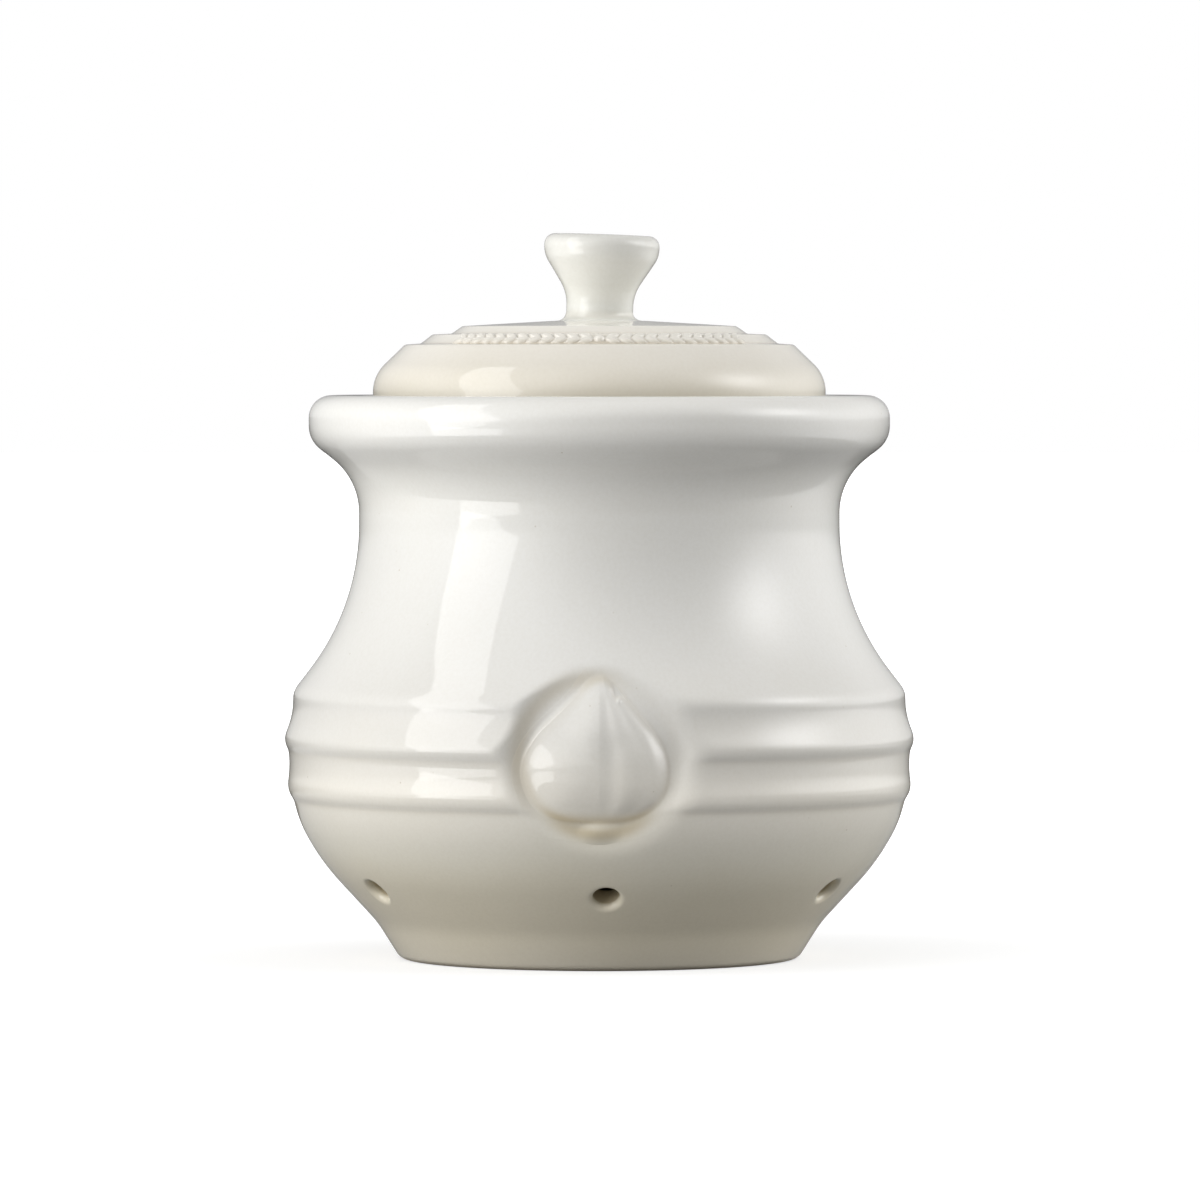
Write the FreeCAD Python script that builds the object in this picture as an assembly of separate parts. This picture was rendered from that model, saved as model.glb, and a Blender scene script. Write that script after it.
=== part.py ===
import FreeCAD
import Part
import math
import os

# Garlic keeper: a pot-bellied stoneware jar with six vents low on its belly, a
# garlic bulb luted into a round dish on its front, and a stepped lid with a
# turned knob. Lengths are in millimetres and angles in degrees. +Z is up, the
# front faces -Y, and the origin is the centre of the foot on the ground.

# Jar: foot
FOOT_RADIUS = 41.06
FOOT_EDGE_ROUND = 2.6
FOOT_RING_WIDTH = 5.0
FOOT_INNER_ROUND = 1.2
UNDERSIDE_RECESS = 2.0
FOOT_HEIGHT = 7.5
FOOT_SPREAD = 4.75
FOOT_CREASE_ROUND = 9.0

# Jar: belly, from the crease above the foot to the bands
BELLY_RADIUS = 63.46
BELLY_TURN_INSET = 3.56
BELLY_TURN_RISE = 15.24
BELLY_TURN_ROUND = 46.4
BELLY_TOP_RISE = 9.88
BELLY_TOP_ROUND = 1.2

# Jar: three thrown bands, each as its height and how far it steps out
LOW_EDGE_RISE = 1.2
LOW_EDGE_STEP = 0.44
LOW_EDGE_ROUND = 1.0
LOW_BAND_RISE = 2.29
LOW_BAND_STEP = 0.41
LOW_BAND_ROUND = 1.7
LOW_BAND_HEIGHT = 4.49
LOW_BAND_TAPER = 0.18
MIDDLE_CREASE_ROUND = 1.6
MIDDLE_EDGE_RISE = 2.9
MIDDLE_EDGE_STEP = 0.68
MIDDLE_EDGE_ROUND = 1.6
CREST_RISE = 2.25
CREST_STEP = 0.12
CREST_ROUND = 3.3
UPPER_BAND_RISE = 3.9
UPPER_BAND_STEP = 0.95
UPPER_BAND_ROUND = 2.0
SHOULDER_RISE = 5.2
SHOULDER_STEP = 0.6
SHOULDER_ROUND = 3.6

# Jar: flare, neck and rolled rim
NECK_RADIUS = 49.54
FLARE_RISE = 18.2
FLARE_ROUND = 49.3
NECK_HEIGHT = 25.59
NECK_TOP_ROUND = 13.95
RIM_SPREAD_RISE = 8.25
RIM_UNDER_ROUND = 6.03
RIM_DEPTH = 9.21
RIM_TOP_ROUND = 4.64
RIM_WIDTH = 11.85
RIM_INNER_ROUND = 1.6

# Jar: inside
WALL = 5.5
FLOOR_THICKNESS = 5.5
FLOOR_ROUND = 12.0
INSIDE_SOFTENING = 4.0
GALLERY_DEPTH = 4.6
GALLERY_ROUND = 0.8

# Vents: round holes bored square to the belly wall
VENT_COUNT = 6
VENT_BORE = 5.2
VENT_LIP = 0.9
VENT_UP_WALL = 10.6
VENT_TURN = 1.5

# Dish: the shallow round hollow that the bulb sits in. Its floor runs parallel
# to the plain belly, and its wall slopes up to the bands
DISH_HEIGHT = 44.2
DISH_DEPTH = 2.0
DISH_TILT = 5.0
DISH_FLOOR_RADIUS = 15.2
DISH_RIM_RADIUS = 19.6
DISH_RIM_LIFT = 0.8
DISH_RUN_ON = 0.5
DISH_REACH = 9.0

# Garlic bulb: sections along the dish, with their relief over its floor
BULB_HALF_WIDTH = 14.8
BULB_HEIGHT = 29.8
BULB_DROP = 12.8
BULB_RELIEF = 3.0
BULB_OUTLINE = [
    # share of height, of half width, of relief
    (0.00, 0.26, 0.25),
    (0.03, 0.50, 0.50),
    (0.10, 0.76, 0.78),
    (0.21, 0.94, 0.96),
    (0.34, 1.00, 1.00),
    (0.47, 0.94, 0.98),
    (0.60, 0.79, 0.92),
    (0.72, 0.57, 0.82),
    (0.85, 0.29, 0.66),
    (1.00, 0.09, 0.36),
]
CLOVE_GROOVES = [55.0, 85.0, 122.0]
CLOVE_GROOVE_WIDTH = 8.0
CLOVE_GROOVE_DEPTH = 0.08
ROOT_HALF_WIDTH = 3.8
ROOT_HALF_HEIGHT = 1.5
ROOT_RELIEF = 1.5
ROOT_DROP = 13.6

# Lid: seat flange and locating collar
LID_SEAT_OVERLAP = 2.6
LID_GALLERY_CLEARANCE = 1.4
COLLAR_CLEARANCE = 1.4
COLLAR_WALL = 4.5
COLLAR_DEPTH = 9.0
COLLAR_ROUND = 1.8
FLANGE_EDGE_ROUND = 0.8

# Lid: shoulder and three steps, from the seat upwards and inwards
LID_SHOULDER_RISE = 8.66
LID_SHOULDER_ROUND = 7.95
STEP_3_RISE = 6.37
STEP_3_INSET = 6.6
TREAD_3_WIDTH = 3.24
TREAD_3_RISE = 0.2
RISER_2_RISE = 1.89
RISER_2_RUN = 2.45
TREAD_2_WIDTH = 3.89
TREAD_2_RISE = 0.14
RISER_1_RISE = 1.56
RISER_1_RUN = 2.25
CROWN_RISE = 1.14
STEP_ROUND = 0.8
LID_WALL = 4.8
LID_HOLLOW_ROUND = 6.0

# Lid: two garlands of leaves moulded on the middle riser, front and back
GARLAND_SPAN = 104.0
GARLAND_LEAVES = 12
LEAF_HALF_LENGTH = 1.75
LEAF_HALF_WIDTH = 0.72
LEAF_RELIEF = 0.55
LEAF_SPREAD = 0.72
LEAF_SLANT = 24.0
BERRY_RADIUS = 1.0

# Knob: turned by itself and luted on; this one leans a little to the right
KNOB_BASE_RADIUS = 8.7
KNOB_STEM_RADIUS = 6.89
KNOB_BASE_ROUND = 1.84
KNOB_STEM_HEIGHT = 5.6
KNOB_STEM_ROUND = 8.75
KNOB_HEAD_RADIUS = 11.88
KNOB_HEAD_RISE = 7.9
KNOB_HEAD_ROUND = 5.75
KNOB_HEAD_DEPTH = 4.2
KNOB_TOP_ROUND = 2.2
KNOB_LEAN = 2.0


def vector(radius, height):
    """Point of a turned outline, in the XZ plane."""
    return FreeCAD.Vector(radius, 0, height)


def rounded_wire(corners):
    """Closed outline from (radius, height, rounding) corners.

    A rounding is limited by the runs beside it.
    """
    count = len(corners)
    points = [vector(radius, height) for radius, height, rounding in corners]
    runs = []
    for i in range(count):
        runs.append(points[(i + 1) % count] - points[i])
    turns = []
    setbacks = []
    for i in range(count):
        turn = runs[i - 1].getAngle(runs[i])
        turns.append(turn)
        setbacks.append(corners[i][2] * math.tan(turn / 2))
    kept = []
    for i in range(count):
        share = 1.0
        for run, other in ((i - 1, i - 1), (i, (i + 1) % count)):
            wanted = setbacks[i] + setbacks[other]
            if wanted > runs[run].Length:
                share = min(share, runs[run].Length / wanted)
        kept.append(setbacks[i] * share)
    starts = []
    ends = []
    for i in range(count):
        into = FreeCAD.Vector(runs[i - 1]).normalize()
        out = FreeCAD.Vector(runs[i]).normalize()
        starts.append(points[i] - into * kept[i])
        ends.append(points[i] + out * kept[i])
    edges = []
    for i in range(count):
        if kept[i] > 1e-6:
            radius = kept[i] / math.tan(turns[i] / 2)
            middle = (starts[i] + ends[i]) * 0.5
            towards = (middle - points[i]).normalize()
            centre = points[i] + towards * (radius / math.cos(turns[i] / 2))
            crown = centre - towards * radius
            edges.append(Part.Arc(starts[i], crown, ends[i]).toShape())
        following = starts[(i + 1) % count]
        if (following - ends[i]).Length > 1e-6:
            edges.append(Part.makeLine(ends[i], following))
    return Part.Wire(edges)


def turned(corners):
    """Solid turned about Z from a closed outline."""
    face = Part.Face(rounded_wire(corners))
    return face.revolve(FreeCAD.Vector(0, 0, 0), FreeCAD.Vector(0, 0, 1), 360)


def inset_line(start, end, distance):
    """Run moved to its left by a distance, as its two ends."""
    length = math.hypot(end[0] - start[0], end[1] - start[1])
    left = (-(end[1] - start[1]) / length * distance, (end[0] - start[0]) / length * distance)
    return (start[0] + left[0], start[1] + left[1]), (end[0] + left[0], end[1] + left[1])


def crossing(line, other):
    """Point where two straight lines meet."""
    (x1, y1), (x2, y2) = line
    (x3, y3), (x4, y4) = other
    below = (x1 - x2) * (y3 - y4) - (y1 - y2) * (x3 - x4)
    first = x1 * y2 - y1 * x2
    second = x3 * y4 - y3 * x4
    x = (first * (x3 - x4) - (x1 - x2) * second) / below
    y = (first * (y3 - y4) - (y1 - y2) * second) / below
    return x, y


def at_height(line, height):
    """Point of a straight line at a height."""
    return crossing(line, ((0.0, height), (1.0, height)))


# Heights of the jar, from the ground up
z_foot = FOOT_HEIGHT
z_turn = z_foot + BELLY_TURN_RISE
z_belly = z_turn + BELLY_TOP_RISE
z_low_edge = z_belly + LOW_EDGE_RISE
z_low_band = z_low_edge + LOW_BAND_RISE
z_middle = z_low_band + LOW_BAND_HEIGHT
z_middle_edge = z_middle + MIDDLE_EDGE_RISE
z_crest = z_middle_edge + CREST_RISE
z_upper = z_crest + UPPER_BAND_RISE
z_shoulder = z_upper + SHOULDER_RISE
z_neck = z_shoulder + FLARE_RISE
z_neck_top = z_neck + NECK_HEIGHT
z_rim_under = z_neck_top + RIM_SPREAD_RISE
z_rim = z_rim_under + RIM_DEPTH
z_floor = UNDERSIDE_RECESS + FLOOR_THICKNESS
z_seat = z_rim - GALLERY_DEPTH

# Radii of the jar and of what fits in it
r_foot = FOOT_RADIUS + FOOT_SPREAD
r_turn = BELLY_RADIUS - BELLY_TURN_INSET
r_low_edge = BELLY_RADIUS + LOW_EDGE_STEP
r_low_band = r_low_edge + LOW_BAND_STEP
r_middle = r_low_band - LOW_BAND_TAPER
r_middle_edge = r_middle + MIDDLE_EDGE_STEP
r_crest = r_middle_edge + CREST_STEP
r_upper = r_crest - UPPER_BAND_STEP
r_shoulder = r_upper - SHOULDER_STEP
r_mouth = NECK_RADIUS - WALL
r_lid = r_mouth + LID_SEAT_OVERLAP
r_gallery = r_lid + LID_GALLERY_CLEARANCE
r_rim = r_gallery + RIM_WIDTH
r_collar = r_mouth - COLLAR_CLEARANCE

jar_outside = [
    (FOOT_RADIUS - FOOT_RING_WIDTH, 0.0, FOOT_INNER_ROUND),
    (FOOT_RADIUS, 0.0, FOOT_EDGE_ROUND),
    (r_foot, z_foot, FOOT_CREASE_ROUND),
    (r_turn, z_turn, BELLY_TURN_ROUND),
    (BELLY_RADIUS, z_belly, BELLY_TOP_ROUND),
    (r_low_edge, z_low_edge, LOW_EDGE_ROUND),
    (r_low_band, z_low_band, LOW_BAND_ROUND),
    (r_middle, z_middle, MIDDLE_CREASE_ROUND),
    (r_middle_edge, z_middle_edge, MIDDLE_EDGE_ROUND),
    (r_crest, z_crest, CREST_ROUND),
    (r_upper, z_upper, UPPER_BAND_ROUND),
    (r_shoulder, z_shoulder, SHOULDER_ROUND),
    (NECK_RADIUS, z_neck, FLARE_ROUND),
    (NECK_RADIUS, z_neck_top, NECK_TOP_ROUND),
    (r_rim, z_rim_under, RIM_UNDER_ROUND),
    (r_rim, z_rim, RIM_TOP_ROUND),
]


# The plain belly without its bands, from the crease above the foot to the neck
plain_belly = [
    (r_foot, z_foot),
    (r_turn, z_turn),
    (BELLY_RADIUS, z_belly),
    (r_shoulder, z_shoulder),
    (NECK_RADIUS, z_neck),
    (NECK_RADIUS, z_neck_top),
]


def inset_belly(distance, bottom):
    """Corners of the plain belly moved in by a distance, from a bottom height upwards."""
    runs = []
    for i in range(len(plain_belly) - 1):
        runs.append(inset_line(plain_belly[i], plain_belly[i + 1], distance))
    roundings = [
        max(BELLY_TURN_ROUND - distance, INSIDE_SOFTENING),
        INSIDE_SOFTENING,
        INSIDE_SOFTENING,
        FLARE_ROUND + distance,
    ]
    corners = [at_height(runs[0], bottom) + (FLOOR_ROUND,)]
    for i in range(len(roundings)):
        corners.append(crossing(runs[i], runs[i + 1]) + (roundings[i],))
    return corners


def make_cavity():
    """Inside of the jar: the plain belly moved in by the wall."""
    corners = [(0.0, z_floor, 0.0)]
    corners += inset_belly(WALL, z_floor)
    corners.append((r_mouth, z_seat, GALLERY_ROUND))
    corners.append((r_gallery, z_seat, GALLERY_ROUND))
    corners.append((r_gallery, z_rim + GALLERY_DEPTH, 0.0))
    corners.append((0.0, z_rim + GALLERY_DEPTH, 0.0))
    return turned(corners)


def make_core():
    """Solid under the dish floor: the plain belly moved in by the dish's depth."""
    corners = [(0.0, z_foot, 0.0)]
    corners += inset_belly(DISH_DEPTH, z_foot)
    corners.append((NECK_RADIUS - DISH_DEPTH, z_neck_top, 0.0))
    corners.append((0.0, z_neck_top, 0.0))
    return turned(corners)


def dish_placement():
    """Frame on the crest of the belly: X across, Y up the dish, Z straight out."""
    tilt = FreeCAD.Rotation(FreeCAD.Vector(1, 0, 0), 90 - DISH_TILT)
    return FreeCAD.Placement(FreeCAD.Vector(0, -r_crest, DISH_HEIGHT), tilt)


def straight_radius(height):
    """Radius of the plain belly at a height, its corners left sharp."""
    for (r_low, z_low), (r_high, z_high) in zip(plain_belly, plain_belly[1:]):
        if height <= z_high:
            return r_low + (r_high - r_low) * (height - z_low) / (z_high - z_low)
    return NECK_RADIUS


def belly_radius(height):
    """Radius of the plain belly at a height, its corners eased."""
    near = straight_radius(height - INSIDE_SOFTENING) + straight_radius(height + INSIDE_SOFTENING)
    return (2 * straight_radius(height) + near) / 4


def belly_level(across, up):
    """Height of the plain belly over a point of the dish's frame."""
    tilt = math.radians(DISH_TILT)
    level = 0.0
    for turn in range(12):
        height = DISH_HEIGHT + up * math.cos(tilt) + level * math.sin(tilt)
        depth = math.sqrt(belly_radius(height) ** 2 - across ** 2)
        level = (depth - r_crest + up * math.sin(tilt)) / math.cos(tilt)
    return level


def dish_ring(radius, lift):
    """Closed curve round the dish's axis, lifted off the plain belly."""
    points = []
    steps = 48
    for i in range(steps):
        across = radius * math.cos(2 * math.pi * i / steps)
        up = radius * math.sin(2 * math.pi * i / steps)
        points.append(FreeCAD.Vector(across, up, belly_level(across, up) + lift))
    curve = Part.BSplineCurve()
    curve.interpolate(Points=points, PeriodicFlag=True)
    return Part.Wire([curve.toShape()])


def level_ring(radius, out):
    """Flat closed curve round the dish's axis."""
    points = []
    steps = 48
    for i in range(steps):
        turn = 2 * math.pi * i / steps
        points.append(FreeCAD.Vector(radius * math.cos(turn), radius * math.sin(turn), out))
    curve = Part.BSplineCurve()
    curve.interpolate(Points=points, PeriodicFlag=True)
    return Part.Wire([curve.toShape()])


def make_dish():
    """Solid that fills the dish and reaches out past the belly."""
    run = DISH_RUN_ON * (DISH_RIM_RADIUS - DISH_FLOOR_RADIUS)
    rise = DISH_RUN_ON * (DISH_RIM_LIFT + DISH_DEPTH)
    rings = [
        level_ring(DISH_FLOOR_RADIUS - 2 * run, -2 * DISH_REACH),
        dish_ring(DISH_FLOOR_RADIUS - run, -DISH_DEPTH - rise),
        dish_ring(DISH_RIM_RADIUS + run, DISH_RIM_LIFT + rise),
        level_ring(DISH_RIM_RADIUS + 2 * run, DISH_REACH),
    ]
    dish = Part.makeLoft(rings, True, True)
    dish.Placement = dish_placement()
    return dish.cut(make_core())


def make_vent():
    """Boring tool for one vent, on the front, with a softened mouth."""
    slope = math.atan2(z_turn - z_foot, r_turn - r_foot)
    radius = r_foot + VENT_UP_WALL * math.cos(slope)
    height = z_foot + VENT_UP_WALL * math.sin(slope)
    reach = 3 * WALL
    tool = turned([
        (0.0, -reach, 0.0),
        (VENT_BORE / 2, -reach, 0.0),
        (VENT_BORE / 2, 0.0, 0.0),
        (0.0, 0.0, 0.0),
    ])
    flare = turned([
        (0.0, -2 * VENT_LIP, 0.0),
        (VENT_BORE / 2, -2 * VENT_LIP, 0.0),
        (VENT_BORE / 2, 0.0, VENT_LIP),
        (VENT_BORE / 2 + 2 * VENT_LIP, 0.0, 0.0),
        (VENT_BORE / 2 + 2 * VENT_LIP, WALL, 0.0),
        (0.0, WALL, 0.0),
    ])
    tool = tool.fuse(flare).removeSplitter()
    outward = FreeCAD.Rotation(FreeCAD.Vector(1, 0, 0), 90 + math.degrees(math.pi / 2 - slope))
    tool.Placement = FreeCAD.Placement(FreeCAD.Vector(0, -radius, height), outward)
    return tool


def make_jar():
    """Jar: turned outside, hollowed, dished on the front and vented."""
    outline = list(jar_outside)
    outline.append((r_gallery, z_rim, RIM_INNER_ROUND))
    outline.append((r_gallery, z_seat, GALLERY_ROUND))
    outline.append((0.0, z_seat, 0.0))
    outline.append((0.0, UNDERSIDE_RECESS, 0.0))
    outline.append((FOOT_RADIUS - FOOT_RING_WIDTH, UNDERSIDE_RECESS, FOOT_INNER_ROUND))
    jar = turned(outline)
    jar = jar.cut(make_cavity())
    jar = jar.cut(make_dish())
    for i in range(VENT_COUNT):
        vent = make_vent()
        turn = VENT_TURN + 360.0 * i / VENT_COUNT
        vent.rotate(FreeCAD.Vector(0, 0, 0), FreeCAD.Vector(0, 0, 1), turn)
        jar = jar.cut(vent)
    return jar


def bulb_section(share, width, relief):
    """One level of the bulb, as a closed curve with shallow clove grooves."""
    depth = CLOVE_GROOVE_DEPTH * math.sin(math.pi * share)
    up = share * BULB_HEIGHT - BULB_DROP
    sink = (width * BULB_HALF_WIDTH) ** 2 / (2 * BELLY_RADIUS)
    middle = belly_level(0.0, up) - DISH_DEPTH - sink
    points = []
    steps = 72
    for i in range(steps):
        angle = 360.0 * i / steps
        groove = 0.0
        for place in CLOVE_GROOVES:
            groove += math.exp(-((angle - place) / CLOVE_GROOVE_WIDTH) ** 2)
        size = 1 - depth * groove
        across = width * BULB_HALF_WIDTH * size * math.cos(math.radians(angle))
        out = (relief * BULB_RELIEF + sink) * size * math.sin(math.radians(angle))
        points.append(FreeCAD.Vector(across, up, middle + out))
    curve = Part.BSplineCurve()
    curve.interpolate(Points=points, PeriodicFlag=True)
    return Part.Wire([curve.toShape()])


def ellipsoid(half_x, half_y, half_z):
    """Ball stretched to three half sizes."""
    stretch = FreeCAD.Matrix()
    stretch.scale(half_x, half_y, half_z)
    return Part.makeSphere(1.0).transformGeometry(stretch)


def make_sprig():
    """Garlic bulb in relief, trimmed to the dish that it is luted into."""
    sections = [bulb_section(*level) for level in BULB_OUTLINE]
    bulb = Part.makeLoft(sections, True, False)
    root = ellipsoid(ROOT_HALF_WIDTH, ROOT_HALF_HEIGHT, ROOT_RELIEF)
    root.translate(FreeCAD.Vector(0, -ROOT_DROP, belly_level(0.0, -ROOT_DROP) - DISH_DEPTH))
    sprig = bulb.fuse(root)
    sprig.Placement = dish_placement()
    return sprig.common(make_dish())


# Corners of the lid's upper side, from its rim to its crown
r_step_3 = r_lid - STEP_3_INSET
r_riser_2 = r_step_3 - TREAD_3_WIDTH
r_step_2 = r_riser_2 - RISER_2_RUN
r_riser_1 = r_step_2 - TREAD_2_WIDTH
r_step_1 = r_riser_1 - RISER_1_RUN
z_shoulder_lid = z_seat + LID_SHOULDER_RISE
z_step_3 = z_shoulder_lid + STEP_3_RISE
z_riser_2 = z_step_3 + TREAD_3_RISE
z_step_2 = z_riser_2 + RISER_2_RISE
z_riser_1 = z_step_2 + TREAD_2_RISE
z_step_1 = z_riser_1 + RISER_1_RISE
z_crown = z_step_1 + CROWN_RISE


def make_leaves():
    """Leaves and berries that stand proud of the middle riser."""
    slope = math.degrees(math.atan2(RISER_2_RISE, RISER_2_RUN))
    radius = (r_riser_2 + r_step_2) / 2
    height = (z_riser_2 + z_step_2) / 2
    parts = []
    for side in (-90.0, 90.0):
        berry = Part.makeSphere(BERRY_RADIUS)
        berry.translate(FreeCAD.Vector(radius, 0, height))
        berry.rotate(FreeCAD.Vector(0, 0, 0), FreeCAD.Vector(0, 0, 1), side)
        parts.append(berry)
        for i in range(GARLAND_LEAVES):
            away = GARLAND_SPAN / 2 * (i + 1) / GARLAND_LEAVES
            for hand in (-1, 1):
                for row in (-1, 1):
                    leaf = ellipsoid(LEAF_HALF_WIDTH, LEAF_HALF_LENGTH, LEAF_RELIEF)
                    leaf.rotate(FreeCAD.Vector(0, 0, 0), FreeCAD.Vector(0, 0, 1), -hand * row * LEAF_SLANT)
                    leaf.translate(FreeCAD.Vector(row * LEAF_SPREAD, 0, 0))
                    leaf.rotate(FreeCAD.Vector(0, 0, 0), FreeCAD.Vector(0, 1, 0), slope)
                    leaf.translate(FreeCAD.Vector(radius, 0, height))
                    leaf.rotate(FreeCAD.Vector(0, 0, 0), FreeCAD.Vector(0, 0, 1), side + hand * away)
                    parts.append(leaf)
    return parts


def make_lid():
    """Lid: stepped dome, seat flange and the collar that keeps it centred."""
    hollow = z_crown - LID_WALL
    shoulder = z_shoulder_lid - LID_WALL
    body = turned([
        (0.0, hollow, 0.0),
        (r_riser_2 - LID_WALL, hollow - TREAD_2_RISE - CROWN_RISE, LID_HOLLOW_ROUND),
        (r_collar - COLLAR_WALL, shoulder, LID_HOLLOW_ROUND),
        (r_collar - COLLAR_WALL, z_seat - COLLAR_DEPTH, COLLAR_ROUND),
        (r_collar, z_seat - COLLAR_DEPTH, COLLAR_ROUND),
        (r_collar, z_seat, FLANGE_EDGE_ROUND),
        (r_lid, z_seat, FLANGE_EDGE_ROUND),
        (r_lid, z_shoulder_lid, LID_SHOULDER_ROUND),
        (r_step_3, z_step_3, STEP_ROUND),
        (r_riser_2, z_riser_2, STEP_ROUND),
        (r_step_2, z_step_2, STEP_ROUND),
        (r_riser_1, z_riser_1, STEP_ROUND),
        (r_step_1, z_step_1, STEP_ROUND),
        (KNOB_BASE_RADIUS, z_crown, 0.0),
        (0.0, z_crown, 0.0),
    ])
    return body.fuse(make_leaves())


def make_knob():
    """Knob: turned on its own axis, leaned, and trimmed to the lid's crown."""
    stem = KNOB_STEM_HEIGHT
    head = stem + KNOB_HEAD_RISE
    top = head + KNOB_HEAD_DEPTH
    knob = turned([
        (0.0, -KNOB_BASE_ROUND, 0.0),
        (KNOB_BASE_RADIUS, -KNOB_BASE_ROUND, 0.0),
        (KNOB_BASE_RADIUS, 0.0, 0.0),
        (KNOB_STEM_RADIUS, 0.0, KNOB_BASE_ROUND),
        (KNOB_STEM_RADIUS, stem, KNOB_STEM_ROUND),
        (KNOB_HEAD_RADIUS, head, KNOB_HEAD_ROUND),
        (KNOB_HEAD_RADIUS, top, KNOB_TOP_ROUND),
        (0.0, top, 0.0),
    ])
    knob.rotate(FreeCAD.Vector(0, 0, 0), FreeCAD.Vector(0, 1, 0), KNOB_LEAN)
    knob.translate(FreeCAD.Vector(0, 0, z_crown))
    below = Part.makeCylinder(2 * KNOB_HEAD_RADIUS, 2 * KNOB_BASE_ROUND)
    below.translate(FreeCAD.Vector(0, 0, z_crown - 2 * KNOB_BASE_ROUND))
    return knob.cut(below)


os.makedirs("parts", exist_ok=True)
pieces = {
    "jar": make_jar(),
    "garlic_sprig": make_sprig(),
    "lid": make_lid(),
    "knob": make_knob(),
}
for name, shape in pieces.items():
    box = shape.BoundBox
    print(name, "solids", len(shape.Solids), "valid", shape.isValid(), "volume", round(shape.Volume, 1))
    print("   x", round(box.XMin, 2), round(box.XMax, 2), "y", round(box.YMin, 2), round(box.YMax, 2))
    print("   z", round(box.ZMin, 2), round(box.ZMax, 2))
    shape.exportStep("parts/" + name + ".step")
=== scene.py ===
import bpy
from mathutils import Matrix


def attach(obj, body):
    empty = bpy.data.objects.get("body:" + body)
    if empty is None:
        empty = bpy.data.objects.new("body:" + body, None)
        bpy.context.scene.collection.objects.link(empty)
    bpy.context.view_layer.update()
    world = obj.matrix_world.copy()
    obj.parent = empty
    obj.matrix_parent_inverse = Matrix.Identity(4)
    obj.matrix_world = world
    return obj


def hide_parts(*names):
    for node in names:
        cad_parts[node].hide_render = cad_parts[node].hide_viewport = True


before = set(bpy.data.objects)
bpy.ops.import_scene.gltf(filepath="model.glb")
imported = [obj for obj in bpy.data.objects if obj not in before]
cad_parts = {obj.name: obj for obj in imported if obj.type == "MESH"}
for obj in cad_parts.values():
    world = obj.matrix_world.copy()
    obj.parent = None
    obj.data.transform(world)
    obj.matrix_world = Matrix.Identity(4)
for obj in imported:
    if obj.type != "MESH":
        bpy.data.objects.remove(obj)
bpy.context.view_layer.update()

import math

import bmesh
import bpy
import numpy as np
from mathutils import Matrix

# Garlic keeper in glazed stoneware. Shapes are worked out in millimetres and
# written to the meshes in metres. The front faces -Y.
MM = 0.001

# ---------------------------------------------------------------- outlines

WALL = 5.5
# Radii
FOOT_INNER = 36.06
MOUTH = 44.04
GALLERY = 48.04
NECK = 49.54
RIM = 59.87
COLLAR = 42.64
LID = 46.64
# Heights
RECESS = 2.0
FLOOR = 7.5
COLLAR_FOOT = 102.5
SEAT = 111.5
RIM_TOP = 116.1
CROWN = 131.46
# Radius and height where the sloping lower belly starts and ends
SLOPE_FOOT = (45.81, 7.5)
SLOPE_TOP = (59.9, 22.74)
# The lid's middle riser, which carries the garlands
RISER = [(36.8, 126.73), (34.35, 128.62)]

# Outside of the jar, as radius, height and rounding, from the foot upwards
JAR_OUTSIDE = [
    (FOOT_INNER, 0.0, 1.2),
    (41.06, 0.0, 2.6),
    (*SLOPE_FOOT, 22.0),
    (*SLOPE_TOP, 46.4),
    (63.44, 32.62, 1.6),
    (63.9, 33.82, 0.7),
    (64.31, 36.11, 1.6),
    (64.1, 40.6, 1.6),
    (64.8, 43.5, 1.2),
    (64.92, 45.75, 3.3),
    (63.96, 49.65, 2.0),
    (63.38, 54.8, 2.6),
    (NECK, 73.05, 49.3),
    (NECK, 98.64, 13.95),
    (RIM, 106.89, 6.03),
    (RIM, RIM_TOP, 4.64),
    (GALLERY, RIM_TOP, 1.7),
    (GALLERY, SEAT, 0.8),
]
# Radius beyond which the outside belongs to the belly with its bands
BELLY_FROM = 50
# How far the outside faces up over the bands, in degrees, by height downwards
BAND_LEAN = [
    (57.6, 37.2),
    (56.4, 35.0),
    (55.4, 23.0),
    (54.5, 8.0),
    (53.8, -1.0),
    (53.0, -1.5),
    (51.6, 4.5),
    (49.8, 11.0),
    (48.4, 16.0),
    (47.4, 19.0),
    (46.6, 16.0),
    (45.8, 5.0),
    (45.0, -8.0),
    (44.2, -20.0),
    (43.6, -28.0),
    (43.1, -20.0),
    (42.7, -11.0),
    (41.8, -7.0),
    (40.4, -3.0),
    (38.8, 1.0),
    (37.4, 4.5),
    (36.6, 3.0),
    (35.8, -5.0),
    (34.9, -15.0),
    (34.1, -27.0),
    (33.4, -36.0),
    (32.9, -28.0),
    (32.4, -17.0),
    (31.2, -17.0),
    (29.0, -22.0),
    (26.6, -27.0),
]
# Inside of the jar, from the seat down to the middle of the floor
JAR_INSIDE = [
    (MOUTH, SEAT, 0.0),
    (MOUTH, 71.2, 54.8),
    (57.89, 52.99, 4.0),
    (57.96, 33.57, 4.0),
    (55.1, 25.65, 40.9),
    (38.32, FLOOR, 12.0),
    (0.0, FLOOR, 0.0),
]
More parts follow.
